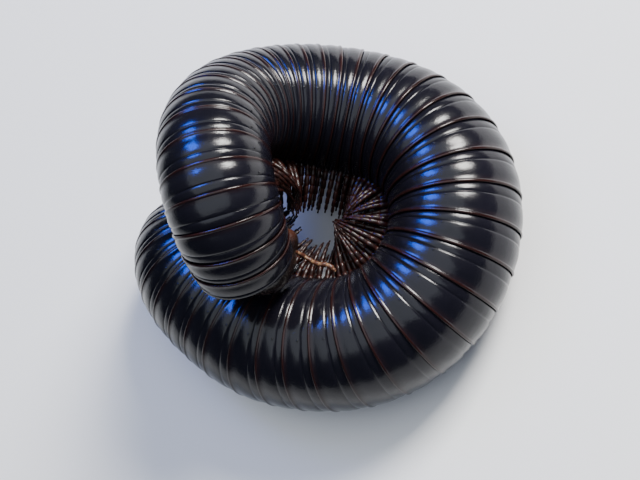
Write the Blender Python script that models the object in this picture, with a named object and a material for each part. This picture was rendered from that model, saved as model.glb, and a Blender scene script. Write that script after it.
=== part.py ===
"""A giant millipede, coiled at rest with its front end arched over the coil's opening, life-size.

One centre line runs from the tail on the floor round the coil, climbs and arches over to the head. Every
ring, leg, plate and feeler is placed from that line. Sizes are in millimetres until the meshes are written
in metres, with +Z up and the origin on the floor under the middle of the coil.
"""

import math

import bmesh
import bpy
import numpy as np
from mathutils import Vector

MM = 0.001

# Places along the body's line from its tail: degrees round the coil, distance from its axis, height, radius
# of the body. They are rounded from a fit to ring lines traced on the photo. The first three are hidden there
# and were placed by hand, and the last two were raised by about 1 mm for clearance.
STATIONS = (
    (110.0, 20.3, 2.7, 2.5),
    (118.5, 19.9, 4.6, 4.4),
    (128.5, 18.9, 6.6, 6.5),
    (146.0, 17.0, 7.75, 7.8),
    (166.0, 15.3, 7.95, 8.0),
    (189.5, 14.8, 7.95, 8.0),
    (214.0, 14.8, 7.95, 8.0),
    (238.0, 15.7, 7.95, 8.0),
    (261.5, 16.7, 7.95, 8.0),
    (284.5, 17.3, 7.95, 8.0),
    (307.5, 17.6, 7.95, 8.0),
    (331.0, 17.2, 7.95, 8.0),
    (354.0, 16.0, 8.1, 8.0),
    (379.0, 14.8, 9.5, 7.95),
    (401.5, 14.5, 12.8, 7.6),
    (420.5, 14.1, 17.2, 7.1),
    (435.5, 11.4, 22.9, 6.65),
    (464.0, 6.2, 26.6, 6.6),
    (534.5, 6.1, 25.0, 6.4),
    (551.5, 8.9, 20.5, 5.8),
)
COIL_AXIS = (-0.528, 1.723)
# The middle of the coil's opening, which the belly faces and the legs reach for
CORE = (0.0, 0.0, 8.5)
FLOOR = 0.0
GAP = 0.3
LINE_SAMPLES = 1600
SHARP_EDGE = 40.0
# Added to a way so that it is never quite along another
OFF_STRAIGHT = np.array((0.013, 0.017, 0.011))

# Rings, telescoped into one another and pushed together along the belly
BELLY_PITCH = 1.5
TIGHTEST_PITCH = 0.9
TIGHTEST_SIDE = 0.2
BEND_SMOOTHING = 5.0
RING_SIDES = 20
# Along a ring from its hind rim to its front end: share of its length, step in its radius
RING_PROFILE = ((0.0, 0.12), (0.15, 0.08), (0.62, 0.0), (0.70, -0.15), (1.0, -0.3))

# Legs, one pair a ring, in two tiers that alternate so that they pass between one another. They splay to
# the sides, droop in their first part wherever the coil leaves too little room towards its core, and stop
# short of the middle of a tight bend
LEG_SIDES = 5
LEG_ROOT_ANGLE = 8.7
LEG_SUNK = 0.7
LEG_REACH = 5.35
LEG_CLEAR_OF_CORE = 2.2
LEG_TIERS = (14.0, 42.0)
LEG_DROOP_LIMIT = 80.0
LEG_DROOP_START, LEG_DROOPED_AT = 0.6, 0.3
SPLAY_LEFT_IN_DROOP, REACH_LEFT_IN_DROOP = 0.35, 0.62
FIRST_LEG, LEG_GROWTH = 0.42, 0.06
LEG_SHORT_OF_BEND = 1.5
GENTLEST_BEND = 0.01
# Along a leg from its root to its tip: share of its reach, diameter
LEG_PROFILE = ((0.0, 0.85), (0.25, 0.82), (0.5, 0.72), (0.76, 0.58), (1.0, 0.36))
LEGLESS_AT_TAIL = 3
LEGLESS_AT_HEAD = 1

# Head, in its own frame: x to the animal's left, y forward, z away from the belly
HEAD_TILT = 65.0
HEAD_PLACE = (1.7, 2.9)
CRANIUM = (4.1, 3.6, 3.6)
CLYPEUS_PLACE, CLYPEUS = (0.0, 2.0, -1.9), (2.5, 1.9, 2.3)
MANDIBLE_PLACE, MANDIBLE = (2.8, 0.8, -2.0), (1.35, 2.1, 1.8)
CHIN_PLACE, CHIN = (0.0, -0.2, -2.9), (2.3, 2.2, 0.95)
EYE_PLACE, EYE = (3.35, 1.25, 1.05), (0.65, 0.85, 0.55)
# Faces round and along each ball of the head and the tail
CRANIUM_MESH, CLYPEUS_MESH, MANDIBLE_MESH, CHIN_MESH = (20, 14), (12, 8), (10, 8), (12, 6)
EYE_MESH, SOCKET_MESH, VALVE_MESH = (10, 6), (12, 8), (14, 10)
# Bent paths of the feelers out of the head, about the coil's axis: both hang into the coil's opening
ANTENNA_PATHS = {
    "left": (
        (-4.2, -2.7, 14.8), (-4.0, -3.0, 13.9), (-3.9, -3.8, 13.1), (-3.6, -5.3, 12.5), (-3.1, -6.1, 12.1),
        (-3.1, -7.1, 11.6),
    ),
    "right": ((-5.5, 0.5, 14.3), (-5.0, 1.0, 13.3), (-4.4, 1.4, 12.7), (-3.8, 1.6, 12.2), (-3.2, 1.5, 11.8)),
}
ANTENNA_ARTICLES = 7
ANTENNA_WAIST, ANTENNA_KNOB, ANTENNA_TIP = 0.5, 0.72, 0.4
ANTENNA_KNOB_AT = 0.7
ANTENNA_SIDES = 8

# Tail plate and its two valves
VALVE_BULGE = 1.1

SHELL_COLOUR = (0.018, 0.015, 0.016, 1.0)
LEG_COLOUR = (0.16, 0.05, 0.03, 1.0)
EYE_COLOUR = (0.01, 0.01, 0.012, 1.0)
SHELL_ROUGHNESS, LEG_ROUGHNESS, EYE_ROUGHNESS = 0.18, 0.35, 0.25


def natural_spline(knots, values, at):
    """Read a natural cubic spline through the values at the knots."""
    count = len(knots)
    steps = np.diff(knots)
    system = np.eye(count)
    right = np.zeros_like(values)
    for i in range(1, count - 1):
        system[i, i - 1:i + 2] = steps[i - 1], 2 * (steps[i - 1] + steps[i]), steps[i]
        right[i] = 6 * ((values[i + 1] - values[i]) / steps[i] - (values[i] - values[i - 1]) / steps[i - 1])
    bend = np.linalg.solve(system, right)
    i = np.clip(np.searchsorted(knots, at) - 1, 0, count - 2)
    step = steps[i][:, None]
    back, ahead = (at - knots[i])[:, None], (knots[i + 1] - at)[:, None]
    cubic = (bend[i] * ahead ** 3 + bend[i + 1] * back ** 3) / (6 * step)
    low = (values[i] / step - bend[i] * step / 6) * ahead
    high = (values[i + 1] / step - bend[i + 1] * step / 6) * back
    return cubic + low + high


class BodyLine:
    """The body's centre line, with the way it runs, its belly side and its radius at any length along it."""

    def __init__(self):
        stations = np.array(STATIONS)
        angle = np.radians(stations[:, 0])
        knots = np.stack([
            stations[:, 1] * np.cos(angle), stations[:, 1] * np.sin(angle), stations[:, 2], stations[:, 3],
        ], axis=1)
        chord = np.concatenate([[0.0], np.cumsum(np.linalg.norm(np.diff(knots[:, :3], axis=0), axis=1))])
        curve = natural_spline(chord, knots, np.linspace(0.0, chord[-1], LINE_SAMPLES))
        self.points, self.radii = curve[:, :3], curve[:, 3]
        strides = np.linalg.norm(np.diff(self.points, axis=0), axis=1)
        self.lengths = np.concatenate([[0.0], np.cumsum(strides)])
        tangents = np.gradient(self.points, self.lengths, axis=0)
        self.tangents = tangents / np.linalg.norm(tangents, axis=1)[:, None]
        self.bends = np.gradient(self.tangents, self.lengths, axis=0)

    def read(self, values, length):
        return np.array([np.interp(length, self.lengths, column) for column in values.T])

    def frame(self, length):
        """Point, way forward, way to the belly, way to the left side, and body radius."""
        point = self.read(self.points, length)
        forward = self.read(self.tangents, length)
        forward /= np.linalg.norm(forward)
        belly = CORE - point
        belly -= belly.dot(forward) * forward
        belly /= np.linalg.norm(belly)
        radius = float(np.interp(length, self.lengths, self.radii))
        return point, forward, belly, np.cross(forward, belly), radius

    def ring_joints(self):
        """Lengths where one ring meets the next, evenly spaced along the belly."""
        towards_core = CORE - self.points
        towards_core /= np.linalg.norm(towards_core, axis=1)[:, None]
        belly_bend = np.maximum((self.bends * towards_core).sum(axis=1), 0.0)
        any_bend = np.linalg.norm(self.bends, axis=1)
        pitch = np.maximum(
            BELLY_PITCH / (1.0 - self.radii * belly_bend),
            TIGHTEST_PITCH / np.maximum(1.0 - self.radii * any_bend, TIGHTEST_SIDE),
        )
        window = int(BEND_SMOOTHING / self.lengths[-1] * len(self.lengths))
        padded = np.pad(pitch, window, mode="edge")
        pitch = np.convolve(padded, np.ones(2 * window + 1) / (2 * window + 1), mode="valid")
        shares = np.diff(self.lengths) * (1.0 / pitch[1:] + 1.0 / pitch[:-1]) / 2
        passed = np.concatenate([[0.0], np.cumsum(shares)])
        rings = int(passed[-1])
        return np.interp(np.linspace(0.0, passed[-1], rings + 1), passed, self.lengths)


def material(name, colour, roughness):
    made = bpy.data.materials.new(name)
    made.use_nodes = True
    shader = made.node_tree.nodes["Principled BSDF"]
    shader.inputs["Base Color"].default_value = colour
    shader.inputs["Roughness"].default_value = roughness
    shader.inputs["Metallic"].default_value = 0.0
    return made


def mesh_object(name, points, faces):
    """A mesh object from points in millimetres, with its faces turned outward."""
    mesh = bpy.data.meshes.new(name)
    mesh.from_pydata([(Vector(p) + Vector((*COIL_AXIS, 0.0))) * MM for p in points], [], faces)
    shape = bmesh.new()
    shape.from_mesh(mesh)
    bmesh.ops.recalc_face_normals(shape, faces=shape.faces)
    shape.to_mesh(mesh)
    shape.free()
    made = bpy.data.objects.new(name, mesh)
    bpy.context.scene.collection.objects.link(made)
    return made


def finish(made, colour, roughness):
    """Smooth shading with its own material."""
    made.data.materials.clear()
    made.data.materials.append(material(made.name, colour, roughness))
    made.data.shade_smooth()
    made.data.set_sharp_from_angle(angle=math.radians(SHARP_EDGE))


def tube(name, loops):
    """A closed tube through loops of points that all have the same number of points."""
    sides = len(loops[0])
    points = [p for loop in loops for p in loop]
    faces = []
    for i in range(len(loops) - 1):
        for j in range(sides):
            after = (j + 1) % sides
            faces.append((i * sides + j, i * sides + after, (i + 1) * sides + after, (i + 1) * sides + j))
    faces.append(tuple(range(sides))[::-1])
    faces.append(tuple((len(loops) - 1) * sides + j for j in range(sides)))
    return mesh_object(name, points, faces)


def circle(centre, across, up, radius, sides, turn=0.5):
    """Points round a circle, from the way called across towards the way called up."""
    angles = 2 * math.pi * (np.arange(sides) + turn) / sides
    return centre + radius * (np.cos(angles)[:, None] * across + np.sin(angles)[:, None] * up)


def swept_tube(name, path, diameters, sides):
    """A tapered tube along a bent path, its loops square to the path."""
    path = np.array(path)
    ways = np.gradient(path, axis=0)
    ways /= np.linalg.norm(ways, axis=1)[:, None]
    across = np.cross(ways[0], ways[-1] + OFF_STRAIGHT)
    loops = []
    for point, way, diameter in zip(path, ways, diameters):
        across = across - across.dot(way) * way
        across /= np.linalg.norm(across)
        loops.append(circle(point, across, np.cross(way, across), diameter / 2, sides))
    return tube(name, loops)


def join(base, pieces, operation="UNION", solver="EXACT"):
    """Fuse the pieces into the base, or cut them from it, and keep the largest closed surface."""
    group = bpy.data.collections.new(base.name + "_pieces")
    for piece in pieces:
        group.objects.link(piece)
    boolean = base.modifiers.new(operation.lower(), "BOOLEAN")
    boolean.operation = operation
    boolean.solver = solver
    boolean.operand_type = "COLLECTION"
    boolean.collection = group
    evaluated = base.evaluated_get(bpy.context.evaluated_depsgraph_get())
    merged = bpy.data.meshes.new_from_object(evaluated)
    base.modifiers.clear()
    base.data = merged
    for piece in pieces:
        bpy.data.objects.remove(piece)
    bpy.data.collections.remove(group)
    keep_largest_surface(base)
    return base


def keep_largest_surface(made):
    shape = bmesh.new()
    shape.from_mesh(made.data)
    left = set(shape.faces)
    islands = []
    while left:
        seed = left.pop()
        island, edge_of_island = {seed}, [seed]
        while edge_of_island:
            face = edge_of_island.pop()
            for edge in face.edges:
                for other in edge.link_faces:
                    if other in left:
                        left.remove(other)
                        island.add(other)
                        edge_of_island.append(other)
        islands.append(island)
    islands.sort(key=lambda faces: sum(face.calc_area() for face in faces))
    for island in islands[:-1]:
        bmesh.ops.delete(shape, geom=list(island), context="FACES")
    shape.to_mesh(made.data)
    shape.free()


def gap_length(line, joint, way):
    """Length along the line that half a gap takes up at a joint, on the side that faces a way."""
    _, _, _, _, radius = line.frame(joint)
    squeeze = 1.0 - radius * line.read(line.bends, joint).dot(way)
    return GAP / 2 / squeeze


def ring_loops(line, start, end, profile):
    """Loops of one ring between two joints, with half a gap left at each, clear of the floor."""
    angles = 2 * math.pi * (np.arange(RING_SIDES) + 0.5) / RING_SIDES
    loops = [[] for _ in profile]
    for angle in angles:
        _, _, belly, side, _ = line.frame((start + end) / 2)
        way = math.cos(angle) * belly + math.sin(angle) * side
        first = start + gap_length(line, start, way)
        last = end - gap_length(line, end, way)
        for loop, (share, step) in zip(loops, profile):
            point, _, belly, side, radius = line.frame(first + (last - first) * share)
            point = point + (radius + step) * (math.cos(angle) * belly + math.sin(angle) * side)
            loop.append((point[0], point[1], max(point[2], FLOOR)))
    return [np.array(loop) for loop in loops]


def leg(name, line, length, side_sign, splay, reach):
    """One leg of a ring, from inside the ring to its tip near the coil's core."""
    point, _, belly, side, radius = line.frame(length)
    root_angle = math.radians(LEG_ROOT_ANGLE) * side_sign
    room = float(np.linalg.norm(CORE - point)) - radius - LEG_CLEAR_OF_CORE
    droop = min(math.degrees(math.acos(min(max(room / LEG_REACH, 0.0), 1.0))), LEG_DROOP_LIMIT)
    turned = droop / LEG_DROOP_LIMIT
    splay *= side_sign * (1.0 - (1.0 - SPLAY_LEFT_IN_DROOP) * turned)
    reach *= 1.0 - (1.0 - REACH_LEFT_IN_DROOP) * turned
    bend = max(float(line.read(line.bends, length).dot(belly)), GENTLEST_BEND)
    reach = min(reach, 1.0 / bend - radius - LEG_SHORT_OF_BEND)
    here = point + (radius - LEG_SUNK) * (math.cos(root_angle) * belly + math.sin(root_angle) * side)
    path = [here]
    for (share, _), (before, _) in zip(LEG_PROFILE[1:], LEG_PROFILE[:-1]):
        drooped = LEG_DROOP_START + (1.0 - LEG_DROOP_START) * min(1.0, before / LEG_DROOPED_AT)
        lean = math.radians(splay * (1.0 - before) - droop * drooped)
        way = math.cos(lean) * belly + math.sin(lean) * side
        here = here + way * (share - before) * (reach + LEG_SUNK)
        path.append(here)
    return swept_tube(name, path, [width for _, width in LEG_PROFILE], LEG_SIDES)


def ball(name, sizes, place, frame, mesh_steps):
    """An ellipsoid in a frame given as its origin and its three ways."""
    shape = bmesh.new()
    bmesh.ops.create_uvsphere(shape, u_segments=mesh_steps[0], v_segments=mesh_steps[1], radius=1.0)
    points = [in_frame(frame, np.array(v.co) * sizes + place) for v in shape.verts]
    faces = [tuple(v.index for v in face.verts) for face in shape.faces]
    shape.free()
    return mesh_object(name, points, faces)


def in_frame(frame, local):
    origin, left, forward, up = frame
    return origin + local[0] * left + local[1] * forward + local[2] * up


def cut_away(made, point, way):
    """Cut off what lies past a plane, and close the cut."""
    shape = bmesh.new()
    shape.from_mesh(made.data)
    bmesh.ops.bisect_plane(
        shape, geom=shape.verts[:] + shape.edges[:] + shape.faces[:],
        plane_co=(Vector(point) + Vector((*COIL_AXIS, 0.0))) * MM, plane_no=Vector(way), clear_outer=True,
    )
    bmesh.ops.holes_fill(shape, edges=[edge for edge in shape.edges if edge.is_boundary], sides=0)
    bmesh.ops.recalc_face_normals(shape, faces=shape.faces)
    shape.to_mesh(made.data)
    shape.free()


def head_frame(line):
    """The head's origin and its ways left, forward and up, tilted towards the belly."""
    point, forward, belly, left, _ = line.frame(line.lengths[-1])
    tilt = math.radians(HEAD_TILT)
    ahead = math.cos(tilt) * forward + math.sin(tilt) * belly
    origin = point + HEAD_PLACE[0] * forward + HEAD_PLACE[1] * belly
    return origin, left, ahead, np.cross(ahead, left)


def mirrored(place, sign):
    return np.array(place) * (sign, 1.0, 1.0)


def head_pieces(frame, grown):
    """The head's capsule, front plate, chin and jaws, each grown outward by a distance."""
    pieces = [
        ball("head", np.array(CRANIUM) + grown, np.zeros(3), frame, CRANIUM_MESH),
        ball("clypeus", np.array(CLYPEUS) + grown, np.array(CLYPEUS_PLACE), frame, CLYPEUS_MESH),
        ball("chin", np.array(CHIN) + grown, np.array(CHIN_PLACE), frame, CHIN_MESH),
    ]
    for sign in (-1, 1):
        place = mirrored(MANDIBLE_PLACE, sign)
        pieces.append(ball(f"mandible_{sign}", np.array(MANDIBLE) + grown, place, frame, MANDIBLE_MESH))
    return pieces


def add_collum(line, start, end):
    """The shield behind the head, hollowed where the head is tucked into it."""
    collum = tube("collum", ring_loops(line, start, end, RING_PROFILE))
    join(collum, head_pieces(head_frame(line), GAP), "DIFFERENCE")
    finish(collum, SHELL_COLOUR, SHELL_ROUGHNESS)


def add_head(line, collum_start):
    frame = head_frame(line)
    head, *pieces = head_pieces(frame, 0.0)
    join(head, pieces)
    sockets = []
    for sign, side in ((1, "left"), (-1, "right")):
        place = mirrored(EYE_PLACE, sign)
        sockets.append(ball(f"socket_{side}", np.array(EYE) + GAP, place, frame, SOCKET_MESH))
        finish(ball(f"eye_{side}", EYE, place, frame, EYE_MESH), EYE_COLOUR, EYE_ROUGHNESS)
        add_antenna(side)
    join(head, sockets, "DIFFERENCE", "MANIFOLD")
    point, forward, _, _, _ = line.frame(collum_start)
    cut_away(head, point + forward * GAP, -forward)
    finish(head, SHELL_COLOUR, SHELL_ROUGHNESS)


def add_antenna(side):
    """A feeler of knobbed articles along its bent path."""
    knots = np.array(ANTENNA_PATHS[side])
    chord = np.concatenate([[0.0], np.cumsum(np.linalg.norm(np.diff(knots, axis=0), axis=1))])
    shares, widths = [], []
    for article in range(ANTENNA_ARTICLES):
        shares += [article, article + ANTENNA_KNOB_AT]
        widths += [ANTENNA_WAIST, ANTENNA_KNOB]
    shares.append(ANTENNA_ARTICLES)
    widths.append(ANTENNA_TIP)
    path = natural_spline(chord, knots, np.array(shares) / ANTENNA_ARTICLES * chord[-1])
    finish(swept_tube(f"antenna_{side}", path, widths, ANTENNA_SIDES), LEG_COLOUR, LEG_ROUGHNESS)


def add_tail(line, joint):
    """The tail plate, closed by two valves that meet at an upright slit."""
    finish(tube("telson", ring_loops(line, 0.0, joint, RING_PROFILE)), SHELL_COLOUR, SHELL_ROUGHNESS)
    point, forward, belly, left, radius = line.frame(0.0)
    frame = (point - forward * GAP / 2, left, -forward, -belly)
    size = np.array((radius - GAP, VALVE_BULGE, radius - GAP))
    for sign, side in ((1, "left"), (-1, "right")):
        valve = ball(f"anal_valve_{side}", size, np.zeros(3), frame, VALVE_MESH)
        cut_away(valve, point - forward * GAP / 2, forward)
        cut_away(valve, point + left * sign * GAP / 2, -left * sign)
        finish(valve, SHELL_COLOUR, SHELL_ROUGHNESS)


def add_rings(line):
    joints = line.ring_joints()
    count = len(joints) - 1
    for ring in range(1, count - 1):
        name = f"ring_{count - ring:02d}"
        made = tube(name, ring_loops(line, joints[ring], joints[ring + 1], RING_PROFILE))
        if LEGLESS_AT_TAIL < ring < count - 1 - LEGLESS_AT_HEAD:
            middle = (joints[ring] + joints[ring + 1]) / 2
            splay = LEG_TIERS[ring % 2]
            reach = LEG_REACH * min(1.0, FIRST_LEG + LEG_GROWTH * (count - 1 - ring))
            join(made, [leg(f"{name}_leg_{sign}", line, middle, sign, splay, reach) for sign in (-1, 1)])
        finish(made, SHELL_COLOUR, SHELL_ROUGHNESS)
    return joints


def remove_everything():
    for old in list(bpy.data.objects):
        bpy.data.objects.remove(old)


def main():
    remove_everything()
    line = BodyLine()
    joints = add_rings(line)
    add_collum(line, joints[-2], joints[-1])
    add_head(line, joints[-2])
    add_tail(line, joints[1])


main()
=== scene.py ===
import math

import bmesh
import bpy
import numpy as np
from mathutils import Matrix, Vector


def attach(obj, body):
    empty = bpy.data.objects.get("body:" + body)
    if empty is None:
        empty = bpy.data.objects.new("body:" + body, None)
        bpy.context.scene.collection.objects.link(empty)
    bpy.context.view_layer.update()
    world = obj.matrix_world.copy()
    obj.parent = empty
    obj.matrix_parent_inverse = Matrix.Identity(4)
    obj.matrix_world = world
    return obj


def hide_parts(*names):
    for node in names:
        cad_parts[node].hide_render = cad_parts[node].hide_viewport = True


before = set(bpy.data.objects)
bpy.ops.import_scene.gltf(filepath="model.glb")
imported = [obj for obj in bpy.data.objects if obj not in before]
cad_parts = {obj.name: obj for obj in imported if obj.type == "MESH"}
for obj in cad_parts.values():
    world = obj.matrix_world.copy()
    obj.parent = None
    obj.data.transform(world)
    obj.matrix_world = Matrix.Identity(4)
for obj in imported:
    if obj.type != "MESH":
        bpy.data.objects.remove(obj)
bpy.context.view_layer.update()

MM = 0.001
SEED = 7

# The body's line, as the solids have it: degrees round the coil, distance from its axis, height, radius.
# The values are rounded from a fit to ring lines traced on the photo. The first three are hidden there and
# were placed one by one, and the last two were raised by about 1 mm for clearance
STATIONS = (
    (110.0, 20.3, 2.7, 2.5),
    (118.5, 19.9, 4.6, 4.4),
    (128.5, 18.9, 6.6, 6.5),
    (146.0, 17.0, 7.75, 7.8),
    (166.0, 15.3, 7.95, 8.0),
    (189.5, 14.8, 7.95, 8.0),
    (214.0, 14.8, 7.95, 8.0),
    (238.0, 15.7, 7.95, 8.0),
    (261.5, 16.7, 7.95, 8.0),
    (284.5, 17.3, 7.95, 8.0),
    (307.5, 17.6, 7.95, 8.0),
    (331.0, 17.2, 7.95, 8.0),
    (354.0, 16.0, 8.1, 8.0),
    (379.0, 14.8, 9.5, 7.95),
    (401.5, 14.5, 12.8, 7.6),
    (420.5, 14.1, 17.2, 7.1),
    (435.5, 11.4, 22.9, 6.65),
    (464.0, 6.2, 26.6, 6.6),
    (534.5, 6.1, 25.0, 6.4),
    (551.5, 8.9, 20.5, 5.8),
)
COIL_AXIS = np.array((-0.528, 1.723, 0.0))
CORE = np.array((0.0, 0.0, 8.5))
LINE_SAMPLES = 1600
BELLY_PITCH = 1.5
TIGHTEST_PITCH = 0.9
TIGHTEST_SIDE = 0.2
BEND_SMOOTHING = 5.0
# Rings as the photograph shows them: millimetres behind the front end of the body, length of a ring there,
# rounded from the steps between ring lines in that fit. The solids have somewhat fewer where the body bends
# most, and each ring here names the solids it stands for
RING_LENGTHS = (
    (0.0, 1.9), (5.0, 2.3), (26.0, 2.3), (34.0, 2.1), (42.0, 2.7), (52.0, 2.85), (70.0, 3.25), (95.0, 3.0),
    (122.0, 1.8),
)

# Ring surfaces: share of the ring's length from its hind rim, millimetres past that, step in the radius
RING_SIDES = 144
RING_ANGLES = 2 * math.pi * np.arange(RING_SIDES) / RING_SIDES
SHORT_RING, NARROWEST_LIP = 2.2, 0.3
RIM_COLOUR_TO, RIM_COLOUR_BEYOND = 0.25, 0.3
HIND_LIP = (
    (0.0, 0.60, -0.42), (0.0, 0.30, -0.28), (0.0, 0.03, -0.13), (0.0, -0.03, -0.07), (0.0, -0.05, 0.01),
    (0.0, -0.03, 0.07), (0.0, 0.04, 0.11), (0.0, 0.13, 0.12), (0.0, 0.22, 0.11), (0.0, 0.29, 0.07),
    (0.0, 0.35, 0.025), (0.0, 0.41, 0.01),
)
BARREL_START, BARREL_END, BARREL_STEP, BARREL_BULGE, BARREL_STEPS = 0.22, 0.64, 0.02, 0.05, 7
STRIAE_START, STRIAE_END = 0.1, 0.66
STRIAE_ANGLE, STRIAE_FADE = 60.0, 25.0
SUTURE = (
    (0.665, 0.0, -0.01), (0.685, 0.0, -0.06), (0.70, 0.0, -0.085), (0.715, 0.0, -0.06), (0.735, 0.0, -0.03),
)
FRONT_BAND = (
    (0.80, 0.0, -0.03), (0.88, 0.0, -0.06), (0.95, 0.0, -0.12), (1.0, -0.02, -0.2), (1.0, 0.16, -0.34),
    (1.0, 0.4, -0.5),
)
# The shield's front: a groove, a raised margin and the soft skin set back inside it
SHIELD_FRONT = (
    (0.72, 0.0, 0.0), (1.0, -0.85, 0.0), (1.0, -0.7, -0.01), (1.0, -0.6, -0.07), (1.0, -0.5, -0.01),
    (1.0, -0.35, 0.03), (1.0, -0.15, 0.02), (1.0, -0.04, -0.04), (1.0, 0.0, -0.13), (1.0, -0.04, -0.24),
    (1.0, -0.15, -0.34), (1.0, -0.42, -0.42), (1.0, -0.42, -1.2), (1.0, -0.3, -2.6), (1.0, -0.25, -4.2),
)
SHIELD_SKIN_FROM = -0.4
LOBE_ANGLE, LOBE_SPREAD, LOBE_GROOVES = 66.0, 26.0, (0.34, 0.5, 0.66)
LOBE_GROOVE_WIDTH, LOBE_GROOVE_DEPTH = 0.05, 0.07
TAIL_TIP = (
    (0.0, 0.5, -0.5), (0.0, 0.2, -0.42), (0.0, 0.02, -0.3), (0.0, -0.04, -0.18), (0.0, 0.0, -0.06),
    (0.0, 0.1, -0.01), (0.0, 0.3, 0.01),
)
TAIL_POINT_WIDTH, TAIL_POINT_HEIGHT, TAIL_POINT_TO = 24.0, 0.1, 0.2
PORE_SHARE, PORE_ANGLE, PORE_SIZE, PORE_LIFT = 0.6, 97.0, (0.13, 0.045), 0.02
PORE_MESH = (12, 8)
# Angles between faces above which an edge stays sharp, on tubes and on the blended forms
SHARP_EDGE, SHARP_BLENDED_EDGE = 50.0, 80.0
# Keeps a tube's first loop from lining up with a straight path
OFF_STRAIGHT = np.array([0.013, 0.017, 0.011])

# Legs
LEG_SIDES = 12
LEG_ROOT_ANGLE = 8.7
LEG_SUNK = 0.7
LEG_REACH = 6.8
LEG_CLEAR_OF_CORE = 1.2
LEG_TIERS = (14.0, 42.0)
LEG_DROOP_LIMIT = 80.0
LEG_DROOP_START, LEG_DROOPED_AT = 0.6, 0.3
SPLAY_LEFT_IN_DROOP, REACH_LEFT_IN_DROOP = 0.35, 0.62
FIRST_LEG, LEG_GROWTH = 0.42, 0.06
LEG_SHORT_OF_BEND = 0.6
GENTLEST_BEND = 0.01
LEG_SPLAY_VARIES, LEG_REACH_VARIES = 3.0, (0.97, 1.03)
SPLAY_TURNS_BACK = 1.35
CLAW_WIDTH = 0.06
# Podomeres from the hip to the foot: length as a share of the leg, diameter
PODOMERES = ((0.15, 0.74), (0.16, 0.72), (0.17, 0.66), (0.16, 0.58), (0.15, 0.5), (0.13, 0.4), (0.08, 0.22))
# Along a podomere: share of its length, share of its diameter, weight of the joint's colour
PODOMERE_PROFILE = ((0.0, 0.78, 1.0), (0.1, 0.9, 0.4), (0.4, 1.0, 0.0), (0.78, 1.06, 0.0), (0.94, 0.93, 0.4))
LEGLESS_AT_TAIL = 3
LEGLESS_AT_HEAD = 1
ONE_PAIR_AT_HEAD = 4

# Head, in its own frame: x to the animal's left, y forward, z away from the belly
HEAD_TILT = 65.0
HEAD_PLACE = (1.7, 2.9)
CRANIUM = (4.1, 3.6, 3.6)
VERTEX_PLACE, VERTEX = (0.0, -1.2, 1.2), (3.8, 2.9, 2.7)
CLYPEUS_PLACE, CLYPEUS = (0.0, 2.0, -1.9), (2.5, 1.9, 2.3)
MANDIBLE_PLACE, MANDIBLE = (2.8, 0.8, -2.0), (1.35, 2.1, 1.8)
CHIN_PLACE, CHIN = (0.0, -0.2, -2.9), (2.3, 2.2, 0.95)
LABRUM_NOTCH_PLACE, LABRUM_NOTCH = (0.0, 2.9, -4.35), (0.55, 1.3, 0.75)
EYE_PLACE, EYE = (3.35, 1.25, 1.05), (0.62, 0.82, 0.52)
OCELLI, OCELLUS = 110, 0.1
EYE_PAD_SUNK, OCELLI_SUNK = 0.04, 0.06
# Widths over which the head's forms blend into one another
VERTEX_BLEND, CLYPEUS_BLEND, MANDIBLE_BLEND, CHIN_BLEND, NOTCH_BLEND = 1.0, 0.9, 0.14, 0.12, 0.12
# Furrows: depth, width
JAW_FURROW, JAW_FURROW_PLACE, JAW_FURROW_SLOPE = (0.06, 0.1), 1.35, 0.3
CHIN_SIDE_FURROW, CHIN_SIDE_FURROW_PLACE = (0.08, 0.07), 0.75
CHIN_CROSS_FURROW, CHIN_CROSS_FURROW_PLACE = (0.06, 0.08), 0.9
VERTEX_FURROW, VERTEX_FURROW_FROM, VERTEX_FURROW_FADE = (0.06, 0.07), 0.2, 1.5
TOOTH_STEPS, TOOTH_PLACE, TOOTH, TOOTH_BLEND = (-0.26, 0.0, 0.26), (2.55, -4.0), (0.1, 0.35, 0.24), 0.05
SOCKET_RIM, SOCKET_RIM_WIDTH, SOCKET_RIM_BLEND = 0.52, 0.13, 0.1
SOCKET_HOLE, SOCKET_HOLE_BLEND = 0.42, 0.08
# The row of bristle pits over the mouth: how many a side, spacing, middle, how it curves, size, blend
PITS_A_SIDE, PIT_SPACING, PIT_MIDDLE, PIT_CURVE = 4, 0.38, (3.42, -2.95), (0.02, 0.015)
PIT_SIZE, PIT_BLEND = 0.1, 0.06
MOUTH_FROM, MOUTH_FADE = -2.3, 1.2
HEAD_CENTRE, HEAD_SPREAD = (0.0, 0.3, -0.4), (4.2, 3.9, 4.2)
HEAD_DETAIL, EYE_DETAIL, VALVE_DETAIL = 7, 6, 5
FARTHEST_SURFACE, SURFACE_HALVINGS = 3.0, 24
# Bent paths of the feelers out of the head, about the coil's axis: both hang into the coil's opening
ANTENNA_PATHS = {
    "left": (
        (-4.2, -2.7, 14.8), (-4.0, -3.0, 13.9), (-3.9, -3.8, 13.1), (-3.6, -5.3, 12.5), (-3.1, -6.1, 12.1),
        (-3.1, -7.1, 11.6),
    ),
    "right": ((-5.5, 0.5, 14.3), (-5.0, 1.0, 13.3), (-4.4, 1.4, 12.7), (-3.8, 1.6, 12.2), (-3.2, 1.5, 11.8)),
}
# Articles of a feeler from its root: length as a share, diameter at its widest
ARTICLES = ((0.11, 0.56), (0.2, 0.62), (0.17, 0.62), (0.15, 0.64), (0.16, 0.7), (0.15, 0.72), (0.06, 0.5))
ARTICLE_PROFILE = ((0.0, 0.62, 1.0), (0.1, 0.7, 0.6), (0.45, 0.84, 0.0), (0.78, 1.0, 0.0), (0.93, 0.94, 0.2))
ANTENNA_SIDES = 24
ANTENNA_TIP = 0.3
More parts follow.
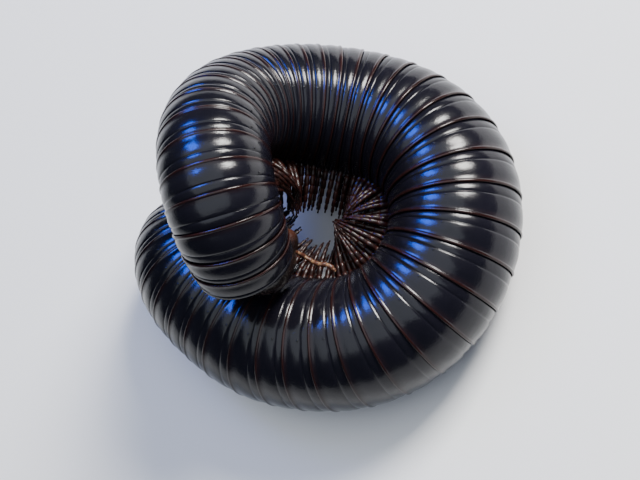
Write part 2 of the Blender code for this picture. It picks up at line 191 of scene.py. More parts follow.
# Cones at a feeler's end: how many, distance from its middle, how far they start back, lean out and reach,
# diameters, sides
CONES, CONE_RING, CONE_BACK, CONE_LEAN, CONE_REACH = 4, 0.08, 0.05, 1.2, 0.12
CONE_WIDTHS, CONE_SIDES = [0.1, 0.03], 8
VALVE_BULGE = 1.1
VALVE_CENTRE_SHARE, VALVE_SPREAD_SHARE, VALVE_INSET = 0.45, 0.6, 0.25
LIP_PLACE, LIP_WIDTH, LIP_PROUD, LIP_INSET, LIP_BLEND = 0.22, 0.16, 0.14, 0.3, 0.1
VALVE_GAP = 0.07

# The camera as the photograph was taken: it looks along +Y from above and is turned about its own line of
# sight. Its elevation, turn and aim come from the same fit to the photo
CAMERA_ELEVATION = 62.53
CAMERA_TURN = -53.57
CAMERA_DISTANCE = 195.0
CAMERA_AIM = np.array((-1.215, -1.134, 8.0))
FRAME_WIDTH = 640.0
PIXELS_PER_MM = 8.079
CAMERA_CLIP_START = 0.01
FLOOR_SIZE = 4.0
# Lights: way as shares of the photograph's right, top and back, then metres away, width and height in
# metres, watts, colour
LIGHTS = {
    "key": ((0.23, 0.76, 0.57), 0.45, (0.15, 0.15), 5.6, (1.0, 0.98, 0.94)),
    "overhead": ((-0.37, 0.27, 0.89), 0.6, (0.8, 0.8), 4.0, (0.86, 0.93, 1.0)),
    "window": ((-0.62, 0.62, 0.45), 0.45, (0.13, 0.19), 4.8, (0.01, 0.11, 1.0)),
}
LIT_HEIGHT = 0.01
WORLD_COLOUR, WORLD_STRENGTH = (0.50, 0.58, 0.86, 1.0), 0.16
# Colours of legs and feelers: dark, light, at the joints. The legs' colours are their own dark red-brown
# darkened with painted shade of the coil's opening
LEG_COLOURS_WITH_SHADE = ((0.004, 0.0015, 0.001, 1), (0.015, 0.0035, 0.0025, 1), (0.034, 0.009, 0.006, 1))
FEELER_COLOURS = ((0.035, 0.012, 0.008, 1), (0.085, 0.028, 0.015, 1), (0.30, 0.17, 0.09, 1))
# The middle range of a noise, spread over a gloss
NOISE_RANGE = (0.3, 0.7)


def unit(vectors):
    return vectors / np.linalg.norm(vectors, axis=-1, keepdims=True)


def natural_spline(knots, values, at):
    """Read a natural cubic spline through the values at the knots."""
    count = len(knots)
    steps = np.diff(knots)
    system = np.eye(count)
    right = np.zeros_like(values)
    for i in range(1, count - 1):
        system[i, i - 1:i + 2] = steps[i - 1], 2 * (steps[i - 1] + steps[i]), steps[i]
        right[i] = 6 * ((values[i + 1] - values[i]) / steps[i] - (values[i] - values[i - 1]) / steps[i - 1])
    bend = np.linalg.solve(system, right)
    i = np.clip(np.searchsorted(knots, at) - 1, 0, count - 2)
    step = steps[i][:, None]
    back, ahead = (at - knots[i])[:, None], (knots[i + 1] - at)[:, None]
    cubic = (bend[i] * ahead ** 3 + bend[i + 1] * back ** 3) / (6 * step)
    low = (values[i] / step - bend[i] * step / 6) * ahead
    high = (values[i + 1] / step - bend[i + 1] * step / 6) * back
    return cubic + low + high


def smooth_path(knots, shares):
    """Points on a smooth path through the knots, at shares of its length."""
    chord = np.concatenate([[0.0], np.cumsum(np.linalg.norm(np.diff(knots, axis=0), axis=1))])
    return natural_spline(chord, knots, np.asarray(shares) * chord[-1])


class BodyLine:
    """The body's centre line, with the way it runs, its belly side and its radius at any length along it."""

    def __init__(self):
        stations = np.array(STATIONS)
        angle = np.radians(stations[:, 0])
        knots = np.stack([
            stations[:, 1] * np.cos(angle), stations[:, 1] * np.sin(angle), stations[:, 2], stations[:, 3],
        ], axis=1)
        chord = np.concatenate([[0.0], np.cumsum(np.linalg.norm(np.diff(knots[:, :3], axis=0), axis=1))])
        curve = natural_spline(chord, knots, np.linspace(0.0, chord[-1], LINE_SAMPLES))
        self.points, self.radii = curve[:, :3], curve[:, 3]
        strides = np.linalg.norm(np.diff(self.points, axis=0), axis=1)
        self.lengths = np.concatenate([[0.0], np.cumsum(strides)])
        self.end = self.lengths[-1]
        self.tangents = unit(np.gradient(self.points, self.lengths, axis=0))
        self.bends = np.gradient(self.tangents, self.lengths, axis=0)

    def read(self, values, length):
        return np.stack([np.interp(length, self.lengths, column) for column in values.T], axis=-1)

    def frame(self, length):
        """Points, ways forward, ways to the belly, ways to the left side, and body radii. Past its ends the
        line runs on straight."""
        length = np.asarray(length, float)
        forward = unit(self.read(self.tangents, length))
        past = length - np.clip(length, 0.0, self.end)
        point = self.read(self.points, length)
        belly = CORE - point
        belly = unit(belly - (belly * forward).sum(axis=-1, keepdims=True) * forward)
        radius = np.interp(length, self.lengths, self.radii)
        return point + past[..., None] * forward, forward, belly, np.cross(forward, belly), radius

    def ring_joints(self):
        """Lengths where one of the solids' rings meets the next, evenly spaced along the belly."""
        belly_bend = np.maximum((self.bends * unit(CORE - self.points)).sum(axis=1), 0.0)
        any_bend = np.linalg.norm(self.bends, axis=1)
        pitch = np.maximum(
            BELLY_PITCH / (1.0 - self.radii * belly_bend),
            TIGHTEST_PITCH / np.maximum(1.0 - self.radii * any_bend, TIGHTEST_SIDE),
        )
        window = int(BEND_SMOOTHING / self.end * len(self.lengths))
        padded = np.pad(pitch, window, mode="edge")
        return self.even_steps(np.convolve(padded, np.ones(2 * window + 1) / (2 * window + 1), mode="valid"))

    def even_steps(self, pitch):
        """Lengths along the line whose steps follow a pitch."""
        shares = np.diff(self.lengths) * (1.0 / pitch[1:] + 1.0 / pitch[:-1]) / 2
        passed = np.concatenate([[0.0], np.cumsum(shares)])
        return np.interp(np.linspace(0.0, passed[-1], int(passed[-1]) + 1), passed, self.lengths)

    def photo_joints(self):
        """Joints of the rings as the photograph shows them. The last ring, the shield, is the solids' own."""
        behind, lengths = np.array(RING_LENGTHS).T
        joints = self.even_steps(np.interp(self.end - self.lengths, behind, lengths))
        shield_start = self.ring_joints()[-2]
        return np.append(joints[:-1] * shield_start / joints[-2], self.end)


def tube_faces(loops, sides):
    """Quads between loops of points that close round, and a cap at each end."""
    faces = []
    for i in range(loops - 1):
        low, high = i * sides, (i + 1) * sides
        for j in range(sides):
            after = (j + 1) % sides
            faces.append((low + j, low + after, high + after, high + j))
    faces.append(tuple(range(sides))[::-1])
    faces.append(tuple(range((loops - 1) * sides, loops * sides)))
    return faces


class Pieces:
    """Many closed forms gathered into one mesh."""

    def __init__(self):
        self.points, self.faces, self.weights, self.count = [], [], {}, 0

    def add(self, points, faces, **weights):
        self.points.append(np.asarray(points))
        self.faces += [tuple(i + self.count for i in face) for face in faces]
        for key, values in weights.items():
            filled = np.broadcast_to(np.asarray(values, float), (len(points),))
            self.weights.setdefault(key, []).append((self.count, filled))
        self.count += len(points)

    def make(self, name, look, nodes, sharp=SHARP_EDGE):
        """One object of all the forms, in metres and above the floor, that rides on the body."""
        mesh = bpy.data.meshes.new(name)
        points = np.concatenate(self.points) + COIL_AXIS
        points[:, 2] = np.maximum(points[:, 2], 0.0)
        mesh.from_pydata(points * MM, [], self.faces)
        for key, runs in self.weights.items():
            values = np.zeros(self.count, dtype=np.float32)
            for start, run in runs:
                values[start:start + len(run)] = run
            mesh.attributes.new(key, "FLOAT", "POINT").data.foreach_set("value", values)
        shape = bmesh.new()
        shape.from_mesh(mesh)
        bmesh.ops.recalc_face_normals(shape, faces=shape.faces)
        shape.to_mesh(mesh)
        shape.free()
        mesh.shade_smooth()
        mesh.set_sharp_from_angle(angle=math.radians(sharp))
        mesh.materials.append(look)
        piece = bpy.data.objects.new(name, mesh)
        bpy.context.scene.collection.objects.link(piece)
        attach(piece, "root")
        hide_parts(*nodes)


class Nodes:
    """Short calls for building a material's nodes."""

    def __init__(self, name):
        self.material = bpy.data.materials.new(name)
        self.material.use_nodes = True
        self.tree = self.material.node_tree
        self.shader = self.tree.nodes["Principled BSDF"]

    def add(self, kind, **settings):
        node = self.tree.nodes.new(kind)
        for key, value in settings.items():
            setattr(node, key, value)
        return node

    def link(self, output, target):
        self.tree.links.new(output, target)

    def set(self, **values):
        for key, value in values.items():
            self.shader.inputs[key.replace("_", " ")].default_value = value

    def attribute(self, name):
        return self.add("ShaderNodeAttribute", attribute_name=name).outputs["Fac"]

    def noise(self, scale, detail=3.0):
        node = self.add("ShaderNodeTexNoise")
        node.inputs["Scale"].default_value = scale
        node.inputs["Detail"].default_value = detail
        self.link(self.add("ShaderNodeTexCoord").outputs["Object"], node.inputs["Vector"])
        return node.outputs["Fac"]

    def math(self, operation, *values):
        node = self.add("ShaderNodeMath", operation=operation)
        for socket, value in zip(node.inputs, values):
            if isinstance(value, bpy.types.NodeSocket):
                self.link(value, socket)
            else:
                socket.default_value = value
        return node.outputs["Value"]

    def mix(self, factor, low, high):
        node = self.add("ShaderNodeMix", data_type="RGBA")
        for socket, value in ((0, factor), (6, low), (7, high)):
            if isinstance(value, bpy.types.NodeSocket):
                self.link(value, node.inputs[socket])
            else:
                node.inputs[socket].default_value = value
        return node.outputs[2]

    def remap(self, value, low, high, to_low=0.0, to_high=1.0):
        node = self.add("ShaderNodeMapRange")
        self.link(value, node.inputs["Value"])
        for key, number in (("From Min", low), ("From Max", high), ("To Min", to_low), ("To Max", to_high)):
            node.inputs[key].default_value = number
        return node.outputs["Result"]

    def bump(self, height, distance, normal=None):
        node = self.add("ShaderNodeBump")
        node.inputs["Distance"].default_value = distance
        self.link(height, node.inputs["Height"])
        if normal is not None:
            self.link(normal, node.inputs["Normal"])
        return node.outputs["Normal"]


def shell_look():
    """Near-black glossy cuticle with a bluish tint that is painted blue reflection, dark red at each hind
    rim, with fine striae and a fine grain.
    """
    n = Nodes("shell")
    # The near-black is the cuticle's own; the bluish tint in these tones is painted reflection of the blue
    # light
    base = n.mix(n.noise(180.0), (0.0028, 0.0030, 0.0048, 1), (0.0070, 0.0062, 0.0105, 1))
    rim = n.mix(n.noise(420.0), (0.004, 0.003, 0.003, 1), (0.024, 0.006, 0.005, 1))
    coloured = n.mix(n.attribute("rim"), base, rim)
    skin = n.mix(n.attribute("skin"), coloured, (0.10, 0.055, 0.035, 1))
    # The gland openings are coloured near-black: painted shade of the holes
    n.link(n.mix(n.attribute("pore"), skin, (0.002, 0.002, 0.002, 1)), n.shader.inputs["Base Color"])
    gloss = n.remap(n.noise(900.0), *NOISE_RANGE, 0.17, 0.24)
    skin_roughness = n.math("MULTIPLY", n.attribute("skin"), 0.5)
    n.link(n.math("MAXIMUM", gloss, skin_roughness), n.shader.inputs["Roughness"])
    n.set(Specular_IOR_Level=0.24, Coat_Weight=0.05, Coat_Roughness=0.1)
    grain = n.bump(n.noise(5200.0, 2.0), 0.000012)
    dents = n.bump(n.noise(700.0, 2.0), 0.00003, grain)
    lengthwise = n.math("SINE", n.math("MULTIPLY", n.attribute("round"), 150.0))
    striae = n.math("MULTIPLY", lengthwise, n.attribute("striae"))
    n.link(n.bump(striae, 0.000012, dents), n.shader.inputs["Normal"])
    return n.material


def leg_look(name, dark, light, joint):
    """Satin red-brown cuticle, paler at the joints, in the colours given; for the legs these carry painted
    shade as well.
    """
    n = Nodes(name)
    base = n.mix(n.noise(700.0), dark, light)
    n.link(n.mix(n.attribute("joint"), base, joint), n.shader.inputs["Base Color"])
    n.link(n.remap(n.noise(2500.0), *NOISE_RANGE, 0.26, 0.4), n.shader.inputs["Roughness"])
    n.set(Specular_IOR_Level=0.25)
    n.link(n.bump(n.noise(4200.0, 2.0), 0.00002), n.shader.inputs["Normal"])
    return n.material


def head_look():
    n = Nodes("head")
    # The capsule's dark brown and the mouth's red-brown are their own colours darkened with painted shade,
    # where the head lies under the shield
    base = n.mix(n.noise(260.0), (0.007, 0.005, 0.005, 1), (0.018, 0.009, 0.007, 1))
    n.link(n.mix(n.attribute("mouth"), base, (0.045, 0.016, 0.010, 1)), n.shader.inputs["Base Color"])
    n.link(n.remap(n.noise(1100.0), *NOISE_RANGE, 0.2, 0.32), n.shader.inputs["Roughness"])
    grain = n.bump(n.noise(3800.0, 2.0), 0.00002)
    n.link(n.bump(n.noise(900.0, 2.0), 0.00006, grain), n.shader.inputs["Normal"])
    return n.material


def eye_look():
    n = Nodes("eye")
    base = n.mix(n.noise(1500.0), (0.006, 0.006, 0.008, 1), (0.014, 0.013, 0.016, 1))
    n.link(base, n.shader.inputs["Base Color"])
    n.set(Roughness=0.14, Coat_Weight=0.3, Coat_Roughness=0.05)
    return n.material


def ring_profile(hind, front):
    """Loops along a ring: share, millimetres, step in the radius and weight of the rim's colour."""
    rows = [(*row, 1.0 if row[1] < RIM_COLOUR_TO else RIM_COLOUR_BEYOND) for row in hind]
    for i in range(BARREL_STEPS + 1):
        way = i / BARREL_STEPS
        share = BARREL_START + (BARREL_END - BARREL_START) * way
        rows.append((share, 0.0, BARREL_STEP + BARREL_BULGE * math.sin(math.pi * way), 0.0))
    rows += [(*row, 0.0) for row in front]
    return np.array(rows)


def ring_surface(line, start, end, profile, relief=None):
    """Points of a ring between two joints. Its loops stay parallel to the joints on every side."""
    ways_along, ways_across = np.cos(RING_ANGLES)[:, None], np.sin(RING_ANGLES)[:, None]
    _, _, belly, side, _ = line.frame((start + end) / 2)
    ways = ways_along * belly + ways_across * side
    squeeze = []
    for joint in (start, end):
        _, _, _, _, radius = line.frame(joint)
        squeeze.append(1.0 - radius * ways @ line.read(line.bends, joint))
    local_length = (end - start) * (squeeze[0] + squeeze[1]) / 2
    narrow = np.clip(local_length / SHORT_RING, NARROWEST_LIP, 1.0)
    loops = []
    for share, extra, step, _ in profile:
        squeezed = squeeze[0] if share < 0.5 else squeeze[1]
        lengths = start + (end - start) * share + extra * narrow / squeezed
        points, _, bellies, sides, radii = line.frame(lengths)
        if relief is not None:
            step = step + relief(RING_ANGLES, share)
        out = ways_along * bellies + ways_across * sides
        loops.append(points + (radii + step)[:, None] * out)
    return np.concatenate(loops)


def shell_weights(profile):
    """Rim colour, angle round the ring and strength of the lengthwise striae at each point."""
    from_belly = np.minimum(RING_ANGLES, 2 * math.pi - RING_ANGLES)
    below = np.clip((math.radians(STRIAE_ANGLE) - from_belly) / math.radians(STRIAE_FADE), 0.0, 1.0)
    on_barrel = (profile[:, 0] > STRIAE_START) & (profile[:, 0] < STRIAE_END)
    return {
        "rim": np.repeat(profile[:, 3], RING_SIDES),
        "round": np.tile(from_belly, len(profile)),
        "striae": np.outer(on_barrel, below).ravel(),
    }


def small_ball(centre, axes, sizes):
    """Points and faces of an ellipsoid with its own axes."""
    shape = bmesh.new()
    bmesh.ops.create_uvsphere(shape, u_segments=PORE_MESH[0], v_segments=PORE_MESH[1], radius=1.0)
    points = np.array([v.co for v in shape.verts]) * sizes @ np.asarray(axes) + centre
    faces = [tuple(v.index for v in face.verts) for face in shape.faces]
    shape.free()
    return points, faces


def add_pores(pieces, line, start, end):
    """The two openings of a ring's glands, one a side: small raised domes whose near-black is painted shade
    of the holes.
    """
    share = start + (end - start) * PORE_SHARE
    point, forward, belly, side, radius = line.frame(share)
    for sign in (-1, 1):
        angle = math.radians(PORE_ANGLE) * sign
        out = math.cos(angle) * belly + math.sin(angle) * side
        axes = (forward, np.cross(out, forward), out)
        sizes = (PORE_SIZE[0], PORE_SIZE[0], PORE_SIZE[1])
        points, faces = small_ball(point + out * (radius + BARREL_BULGE + PORE_LIFT), axes, sizes)
        # The dome's mark gives it near-black colour, painted shade of the opening
        pieces.add(points, faces, pore=1.0)


def leg_path(line, length, side_sign, splay, reach, rng):
    """Centre points, diameters and joint weights of a leg, from inside the ring to the tip of its claw."""
    point, _, belly, side, radius = line.frame(length)
    root_angle = math.radians(LEG_ROOT_ANGLE) * side_sign
    room = np.linalg.norm(CORE - point) - radius - LEG_CLEAR_OF_CORE
    droop = min(math.degrees(math.acos(min(max(room / LEG_REACH, 0.0), 1.0))), LEG_DROOP_LIMIT)
    turned = droop / LEG_DROOP_LIMIT
    splay = (splay + rng.uniform(-LEG_SPLAY_VARIES, LEG_SPLAY_VARIES)) * side_sign * (
        1.0 - (1.0 - SPLAY_LEFT_IN_DROOP) * turned
    )
    reach *= 1.0 - (1.0 - REACH_LEFT_IN_DROOP) * turned
    bend = max(float(line.read(line.bends, length).dot(belly)), GENTLEST_BEND)
    longest = 1.0 / bend - radius - LEG_SHORT_OF_BEND
    reach = (min(reach, longest) + LEG_SUNK) * rng.uniform(*LEG_REACH_VARIES)
    here = point + (radius - LEG_SUNK) * (math.cos(root_angle) * belly + math.sin(root_angle) * side)
    path, widths, weights = [], [], []
    passed = 0.0
    for share, width in PODOMERES:
        drooped = LEG_DROOP_START + (1.0 - LEG_DROOP_START) * min(1.0, passed / LEG_DROOPED_AT)
        lean = math.radians(splay * (1.0 - SPLAY_TURNS_BACK * passed) - droop * drooped)
        way = math.cos(lean) * belly + math.sin(lean) * side
        for along, swell, weight in PODOMERE_PROFILE:
            path.append(here + way * along * share * reach)
            widths.append(width * swell)
            weights.append(weight)
        here = here + way * share * reach
        passed += share
    path.append(here)
    widths.append(CLAW_WIDTH)
    weights.append(0.0)
    return path, widths, weights


def tube_points(path, widths, sides):
    """Points of a tube's loops, square to a bent path."""
    path = np.asarray(path)
    ways = unit(np.gradient(path, axis=0))
    across = np.cross(ways[0], ways[-1] + OFF_STRAIGHT)
    angles = 2 * math.pi * np.arange(sides) / sides
    points = []
    for point, way, width in zip(path, ways, widths):
        across = unit(across - across.dot(way) * way)
        up = np.cross(way, across)
        points.append(point + width / 2 * (np.cos(angles)[:, None] * across + np.sin(angles)[:, None] * up))
    return np.concatenate(points)


def add_tube(pieces, path, widths, weights, sides):
    points = tube_points(path, widths, sides)
    pieces.add(points, tube_faces(len(path), sides), joint=np.repeat(weights, sides))


def solids_of_rings(joints, solid_joints):
    """For each ring, the nodes of the solid rings whose middles are nearest to its own, at least one."""
    middles, solid_middles = (joints[1:] + joints[:-1]) / 2, (solid_joints[1:] + solid_joints[:-1]) / 2
    count = len(solid_middles)
    numbers = range(1, count - 1)
    nearest = {ring: int(np.abs(middles[1:-1] - solid_middles[ring]).argmin()) + 1 for ring in numbers}
    named = []
    for ring in range(len(middles)):
        own = [number for number in numbers if nearest[number] == ring]
        own = own or [int(np.abs(solid_middles[1:-1] - middles[ring]).argmin()) + 1]
        named.append([f"ring_{count - number:02d}" for number in own])
    return named


def add_legs(line, name, nodes, start, end, ring, count, look, rng):
    """All the legs of one ring."""
    pairs = 1 if ring > count - 1 - ONE_PAIR_AT_HEAD else 2
    splays = (LEG_TIERS[ring % 2], LEG_TIERS[1 - ring % 2])
    reach = LEG_REACH * min(1.0, FIRST_LEG + LEG_GROWTH * (count - 1 - ring))
    pieces = Pieces()
    for pair in range(pairs):
        length = start + (end - start) * (pair + 0.5) / pairs
        for sign in (-1, 1):
            path, widths, weights = leg_path(line, length, sign, splays[pair], reach, rng)
            add_tube(pieces, path, widths, weights, LEG_SIDES)
    pieces.make(name, look, nodes)


def add_body(line, joints, solid_joints, looks):
    count = len(joints) - 1
    nodes = solids_of_rings(joints, solid_joints)
    profile = ring_profile(HIND_LIP, SUTURE + FRONT_BAND)
    faces, weights = tube_faces(len(profile), RING_SIDES), shell_weights(profile)
    rng = np.random.default_rng(SEED)
    for ring in range(1, count - 1):
        number = f"{count - ring:02d}"
        start, end = joints[ring], joints[ring + 1]
        shell = Pieces()
        shell.add(ring_surface(line, start, end, profile), faces, **weights)
        add_pores(shell, line, start, end)
        shell.make(f"shell_{number}", looks["shell"], nodes[ring])
        if LEGLESS_AT_TAIL < ring < count - 1 - LEGLESS_AT_HEAD:
            add_legs(line, f"legs_{number}", nodes[ring], start, end, ring, count, looks["leg"], rng)


def lobe_relief(angles, share):
    """Grooves that follow the edge of the shield's side lobes."""
    from_belly = np.degrees(np.minimum(angles, 2 * math.pi - angles))
    within = np.clip(1.0 - np.abs(from_belly - LOBE_ANGLE) / LOBE_SPREAD, 0.0, 1.0)
    grooves = sum(math.exp(-((share - at) / LOBE_GROOVE_WIDTH) ** 2) for at in LOBE_GROOVES)
    return -LOBE_GROOVE_DEPTH * grooves * np.minimum(1.0, 2.0 * within)


def add_shield(line, joints, looks):
    """The shield behind the head, with a grooved front margin and soft skin inside it."""
    profile = ring_profile(HIND_LIP, SHIELD_FRONT)
    weights = shell_weights(profile)
    skin = (profile[:, 0] == 1.0) & (profile[:, 2] < SHIELD_SKIN_FROM)
    pieces = Pieces()
    points = ring_surface(line, joints[-2], joints[-1], profile, lobe_relief)
    faces = tube_faces(len(profile), RING_SIDES)
    pieces.add(points, faces, skin=np.repeat(skin * 1.0, RING_SIDES), **weights)
    pieces.make("shield", looks["shell"], ["collum"])


def ellipsoid(points, place, sizes):
    """Distance to an ellipsoid, near enough for blending."""
    scaled = (points - place) / sizes
    size = np.linalg.norm(scaled, axis=1)
    return size * (size - 1.0) / np.maximum(np.linalg.norm(scaled / sizes, axis=1), 1e-9)


def blend(first, second, width):
    """Smooth union of two distances."""
    share = np.clip(0.5 + 0.5 * (second - first) / width, 0.0, 1.0)
    return second + (first - second) * share - width * share * (1.0 - share)


def carve(whole, cut, width):
    """Smooth cut of one form from another."""
    return -blend(-whole, cut, width)


def furrow(away, depth, width):
    """How far a furrow sinks the surface at a distance from its middle."""
    return depth * np.exp(-(away / width) ** 2)


def mirrored(place, sign):
    return np.array(place) * (sign, 1.0, 1.0)


class HeadFrame:
    """The head's own frame, carried by the front end of the body."""

    def __init__(self, line):
        point, forward, belly, left, _ = line.frame(line.end)
        tilt = math.radians(HEAD_TILT)
        ahead = math.cos(tilt) * forward + math.sin(tilt) * belly
        self.origin = point + HEAD_PLACE[0] * forward + HEAD_PLACE[1] * belly
        self.ways = np.stack([left, ahead, np.cross(ahead, left)])

    def out(self, local):
        return self.origin + np.asarray(local) @ self.ways

    def inward(self, points):
        return (np.asarray(points) - self.origin) @ self.ways.T


def star_surface(distance, centre, sizes, detail):
    """A closed surface where a distance crosses zero, seen from a centre inside it."""
    shape = bmesh.new()
    bmesh.ops.create_icosphere(shape, subdivisions=detail, radius=1.0)
    ways = np.array([v.co for v in shape.verts]) * sizes
    faces = [tuple(v.index for v in face.verts) for face in shape.faces]
    shape.free()
    low, high = np.zeros(len(ways)), np.full(len(ways), FARTHEST_SURFACE)
    for _ in range(SURFACE_HALVINGS):
        middle = (low + high) / 2
        inside = distance(centre + ways * middle[:, None]) < 0.0
        low, high = np.where(inside, middle, low), np.where(inside, high, middle)
    return centre + ways * low[:, None], faces


def head_distance(points, sockets):
    """Distance to the head: its blended forms, less the furrows, notch, sockets and pits."""
    x, y, z = points.T
    whole = ellipsoid(points, np.zeros(3), CRANIUM)
    whole = blend(whole, ellipsoid(points, VERTEX_PLACE, VERTEX), VERTEX_BLEND)
    whole = blend(whole, ellipsoid(points, CLYPEUS_PLACE, CLYPEUS), CLYPEUS_BLEND)
    for sign in (-1, 1):
        jaw = ellipsoid(points, mirrored(MANDIBLE_PLACE, sign), MANDIBLE)
        jaw = jaw + furrow(z + JAW_FURROW_PLACE + JAW_FURROW_SLOPE * y, *JAW_FURROW)
        whole = blend(whole, jaw, MANDIBLE_BLEND)
    chin = ellipsoid(points, CHIN_PLACE, CHIN)
    chin = chin + furrow(np.abs(x) - CHIN_SIDE_FURROW_PLACE, *CHIN_SIDE_FURROW)
    chin = chin + furrow(y + CHIN_CROSS_FURROW_PLACE, *CHIN_CROSS_FURROW)
    whole = blend(whole, chin, CHIN_BLEND)
    above = np.clip((z - VERTEX_FURROW_FROM) / VERTEX_FURROW_FADE, 0.0, 1.0)
    whole = whole + furrow(x, *VERTEX_FURROW) * above
    whole = carve(whole, ellipsoid(points, LABRUM_NOTCH_PLACE, LABRUM_NOTCH), NOTCH_BLEND)
    for step in TOOTH_STEPS:
        whole = blend(whole, ellipsoid(points, (step, *TOOTH_PLACE), TOOTH), TOOTH_BLEND)
    for place in sockets:
        away = np.linalg.norm(points - place, axis=1)
        rim = np.abs(away - SOCKET_RIM) - SOCKET_RIM_WIDTH + np.maximum(0.0, whole)
        whole = blend(whole, rim, SOCKET_RIM_BLEND)
        whole = carve(whole, away - SOCKET_HOLE, SOCKET_HOLE_BLEND)
    for number in range(-PITS_A_SIDE, PITS_A_SIDE + 1):
        ahead = PIT_MIDDLE[0] - PIT_CURVE[0] * number ** 2
        up = PIT_MIDDLE[1] + PIT_CURVE[1] * number ** 2
        pit = np.array((PIT_SPACING * number, ahead, up))
        whole = carve(whole, np.linalg.norm(points - pit, axis=1) - PIT_SIZE, PIT_BLEND)
    return whole


def add_head(line, looks):
    """The head capsule with its eyes and feelers."""
    frame_of_head = HeadFrame(line)
    sockets = [frame_of_head.inward(ANTENNA_PATHS[side][0]) for side in ("left", "right")]
    points, faces = star_surface(
        lambda p: head_distance(p, sockets), np.array(HEAD_CENTRE), np.array(HEAD_SPREAD), HEAD_DETAIL,
    )
    mouth = np.clip((MOUTH_FROM - points[:, 2]) / MOUTH_FADE, 0.0, 1.0)
    head = Pieces()
    head.add(frame_of_head.out(points), faces, mouth=mouth)
    head.make("head_capsule", looks["head"], ["head"], SHARP_BLENDED_EDGE)
    for sign, side in ((1, "left"), (-1, "right")):
        add_eye(frame_of_head, sign, side, looks)
        add_antenna(side, looks)


def eye_distance(points, domes):
    """Distance to an eye patch, its pad and domes together."""
    pad = ellipsoid(points, np.zeros(3), np.array(EYE) - EYE_PAD_SUNK)
    from_domes = np.linalg.norm(points[:, None, :] - domes[None, :, :], axis=2).min(axis=1) - OCELLUS
    return np.minimum(pad, from_domes)


def add_eye(frame_of_head, sign, side, looks):
    """A patch of simple eyes, each a small dome on a raised pad."""
    spiral = np.arange(OCELLI) + 0.5
    polar = np.arccos(1.0 - 2.0 * spiral / OCELLI)
    turn = math.pi * (1.0 + math.sqrt(5.0)) * spiral
    ways = np.stack([np.cos(polar), np.sin(polar) * np.cos(turn), np.sin(polar) * np.sin(turn)], axis=1)
    domes = ways * (np.array(EYE) - OCELLI_SUNK)
    points, faces = star_surface(lambda p: eye_distance(p, domes), np.zeros(3), np.array(EYE), EYE_DETAIL)
    eye = Pieces()
    eye.add(frame_of_head.out(mirrored(np.array(EYE_PLACE) + points, sign)), faces)
    eye.make(f"ocelli_{side}", looks["eye"], [f"eye_{side}"], SHARP_BLENDED_EDGE)


def add_antenna(side, looks):
    """A feeler of knobbed articles along its bent path, with cones at its end."""
    shares, widths, weights = [], [], []
    passed = 0.0
    for length, width in ARTICLES:
        for along, swell, weight in ARTICLE_PROFILE:
            shares.append(passed + length * along)
            widths.append(width * swell)
            weights.append(weight)
        passed += length
    shares += [1.0]
    widths += [ANTENNA_TIP]
    weights += [0.0]
    path = smooth_path(np.array(ANTENNA_PATHS[side]), shares)
    feeler = Pieces()
    add_tube(feeler, path, widths, weights, ANTENNA_SIDES)
    way = unit(path[-1] - path[-3])
    across = unit(np.cross(way, (0.3, 0.2, 0.9)))
    up = np.cross(way, across)
    for turn in range(CONES):
        angle = turn * math.pi / 2
        lean = CONE_RING * (math.cos(angle) * across + math.sin(angle) * up)
        cone = [path[-1] + lean - way * CONE_BACK, path[-1] + lean * CONE_LEAN + way * CONE_REACH]
        add_tube(feeler, cone, CONE_WIDTHS, [1.0, 1.0], CONE_SIDES)
    feeler.make(f"feeler_{side}", looks["antenna"], [f"antenna_{side}"])


def tail_relief(angles, share):
    """The short point over the tail."""
    from_back = np.degrees(math.pi - np.minimum(angles, 2 * math.pi - angles))
    return TAIL_POINT_HEIGHT * np.exp(-(from_back / TAIL_POINT_WIDTH) ** 2) * (share < TAIL_POINT_TO)


def add_tail(line, joint, looks):
    """The tail plate and its two lipped valves."""
    profile = ring_profile(TAIL_TIP, SUTURE + FRONT_BAND)
    telson = Pieces()
    telson.add(
        ring_surface(line, 0.0, joint, profile, tail_relief), tube_faces(len(profile), RING_SIDES),
        **shell_weights(profile),
    )
    telson.make("tail_plate", looks["shell"], ["telson"])
    point, forward, belly, left, radius = line.frame(0.0)
    ways = np.stack([left, -forward, -belly])
    for sign, side in ((1, "left"), (-1, "right")):
        points, faces = star_surface(
            lambda p: valve_distance(p, radius), np.array((radius * VALVE_CENTRE_SHARE, 0.0, 0.0)),
            np.array((radius * VALVE_SPREAD_SHARE, VALVE_BULGE, radius)), VALVE_DETAIL,
        )
        valve = Pieces()
        valve.add(point + mirrored(points, sign) @ ways, faces)
        valve.make(f"valve_{side}", looks["shell"], [f"anal_valve_{side}"], SHARP_BLENDED_EDGE)


def valve_distance(points, radius):
    """Half an ellipsoid with a raised lip along its flat side."""
    body = ellipsoid(points, np.zeros(3), np.array((radius - VALVE_INSET, VALVE_BULGE, radius - VALVE_INSET)))
    lip_size = np.array((LIP_WIDTH, VALVE_BULGE + LIP_PROUD, radius - LIP_INSET))
    lip = ellipsoid(points, np.array((LIP_PLACE, 0.0, 0.0)), lip_size)
    return np.maximum(blend(body, lip, LIP_BLEND), VALVE_GAP - points[:, 0])


def add_floor():
    bpy.ops.mesh.primitive_plane_add(size=FLOOR_SIZE, location=(0.0, 0.0, 0.0))
    floor = bpy.context.object
    floor.name = "floor"
    n = Nodes("floor")
    n.link(n.mix(n.noise(6.0), (0.78, 0.78, 0.79, 1), (0.82, 0.82, 0.83, 1)), n.shader.inputs["Base Color"])
    n.set(Roughness=0.6)
    floor.data.materials.append(n.material)


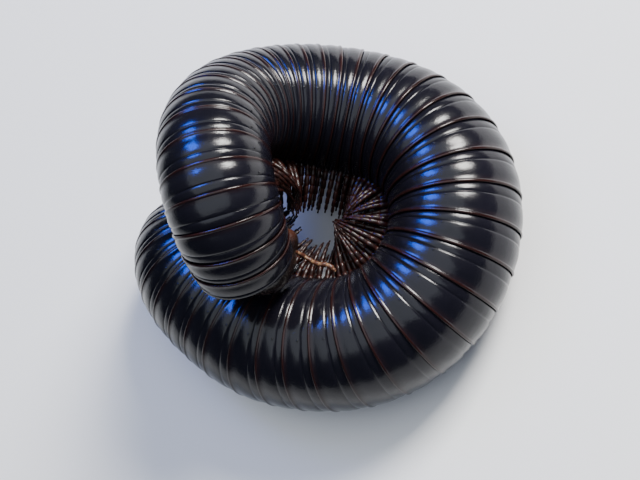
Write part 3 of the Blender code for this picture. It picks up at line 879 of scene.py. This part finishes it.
def camera_ways():
    """The photograph's ways to its right, to its top and back towards its camera."""
    rise, turn = math.radians(CAMERA_ELEVATION), math.radians(CAMERA_TURN)
    level = np.array((1.0, 0.0, 0.0))
    steep = np.array((0.0, math.sin(rise), math.cos(rise)))
    right = math.cos(turn) * level + math.sin(turn) * steep
    top = math.cos(turn) * steep - math.sin(turn) * level
    back = np.array((0.0, -math.cos(rise), math.sin(rise)))
    return right, top, back


def add_camera():
    right, top, back = camera_ways()
    camera = bpy.data.objects.new("camera", bpy.data.cameras.new("camera"))
    place = (CAMERA_AIM + COIL_AXIS + back * CAMERA_DISTANCE) * MM
    turned = Matrix((right, top, back)).transposed().to_4x4()
    camera.matrix_world = Matrix.Translation(Vector(place)) @ turned
    camera.data.angle = 2 * math.atan(FRAME_WIDTH / 2 / (PIXELS_PER_MM * CAMERA_DISTANCE))
    camera.data.clip_start = CAMERA_CLIP_START
    bpy.context.scene.collection.objects.link(camera)
    bpy.context.scene.camera = camera


def add_area_light(name, shares, distance, size, power, colour):
    """A rectangular light that faces the coil from a way given as shares of the camera's ways."""
    way = Vector(sum(share * way for share, way in zip(shares, camera_ways()))).normalized()
    light = bpy.data.lights.new(name, "AREA")
    light.shape = "RECTANGLE"
    light.size, light.size_y = size
    light.energy = power
    light.color = colour
    made = bpy.data.objects.new(name, light)
    made.rotation_euler = way.to_track_quat("Z", "Y").to_euler()
    made.location = Vector((0.0, 0.0, LIT_HEIGHT)) + way * distance
    bpy.context.scene.collection.objects.link(made)
    return made


def add_lights():
    world = bpy.data.worlds.new("studio")
    world.use_nodes = True
    background = world.node_tree.nodes["Background"]
    background.inputs["Color"].default_value = WORLD_COLOUR
    background.inputs["Strength"].default_value = WORLD_STRENGTH
    bpy.context.scene.world = world
    made = {name: add_area_light(name, *settings) for name, settings in LIGHTS.items()}
    # The blue window shows in the gloss alone, so the floor stays white as in the photograph
    made["window"].visible_diffuse = False


def main():
    line = BodyLine()
    joints, solid_joints = line.photo_joints(), line.ring_joints()
    looks = {
        "shell": shell_look(),
        # The legs' colours carry painted shade on top of their own dark red-brown
        "leg": leg_look("leg", *LEG_COLOURS_WITH_SHADE),
        "antenna": leg_look("antenna", *FEELER_COLOURS),
        "head": head_look(),
        "eye": eye_look(),
    }
    add_camera()
    add_body(line, joints, solid_joints, looks)
    add_shield(line, joints, looks)
    add_head(line, looks)
    add_tail(line, joints[1], looks)
    add_floor()
    add_lights()


main()
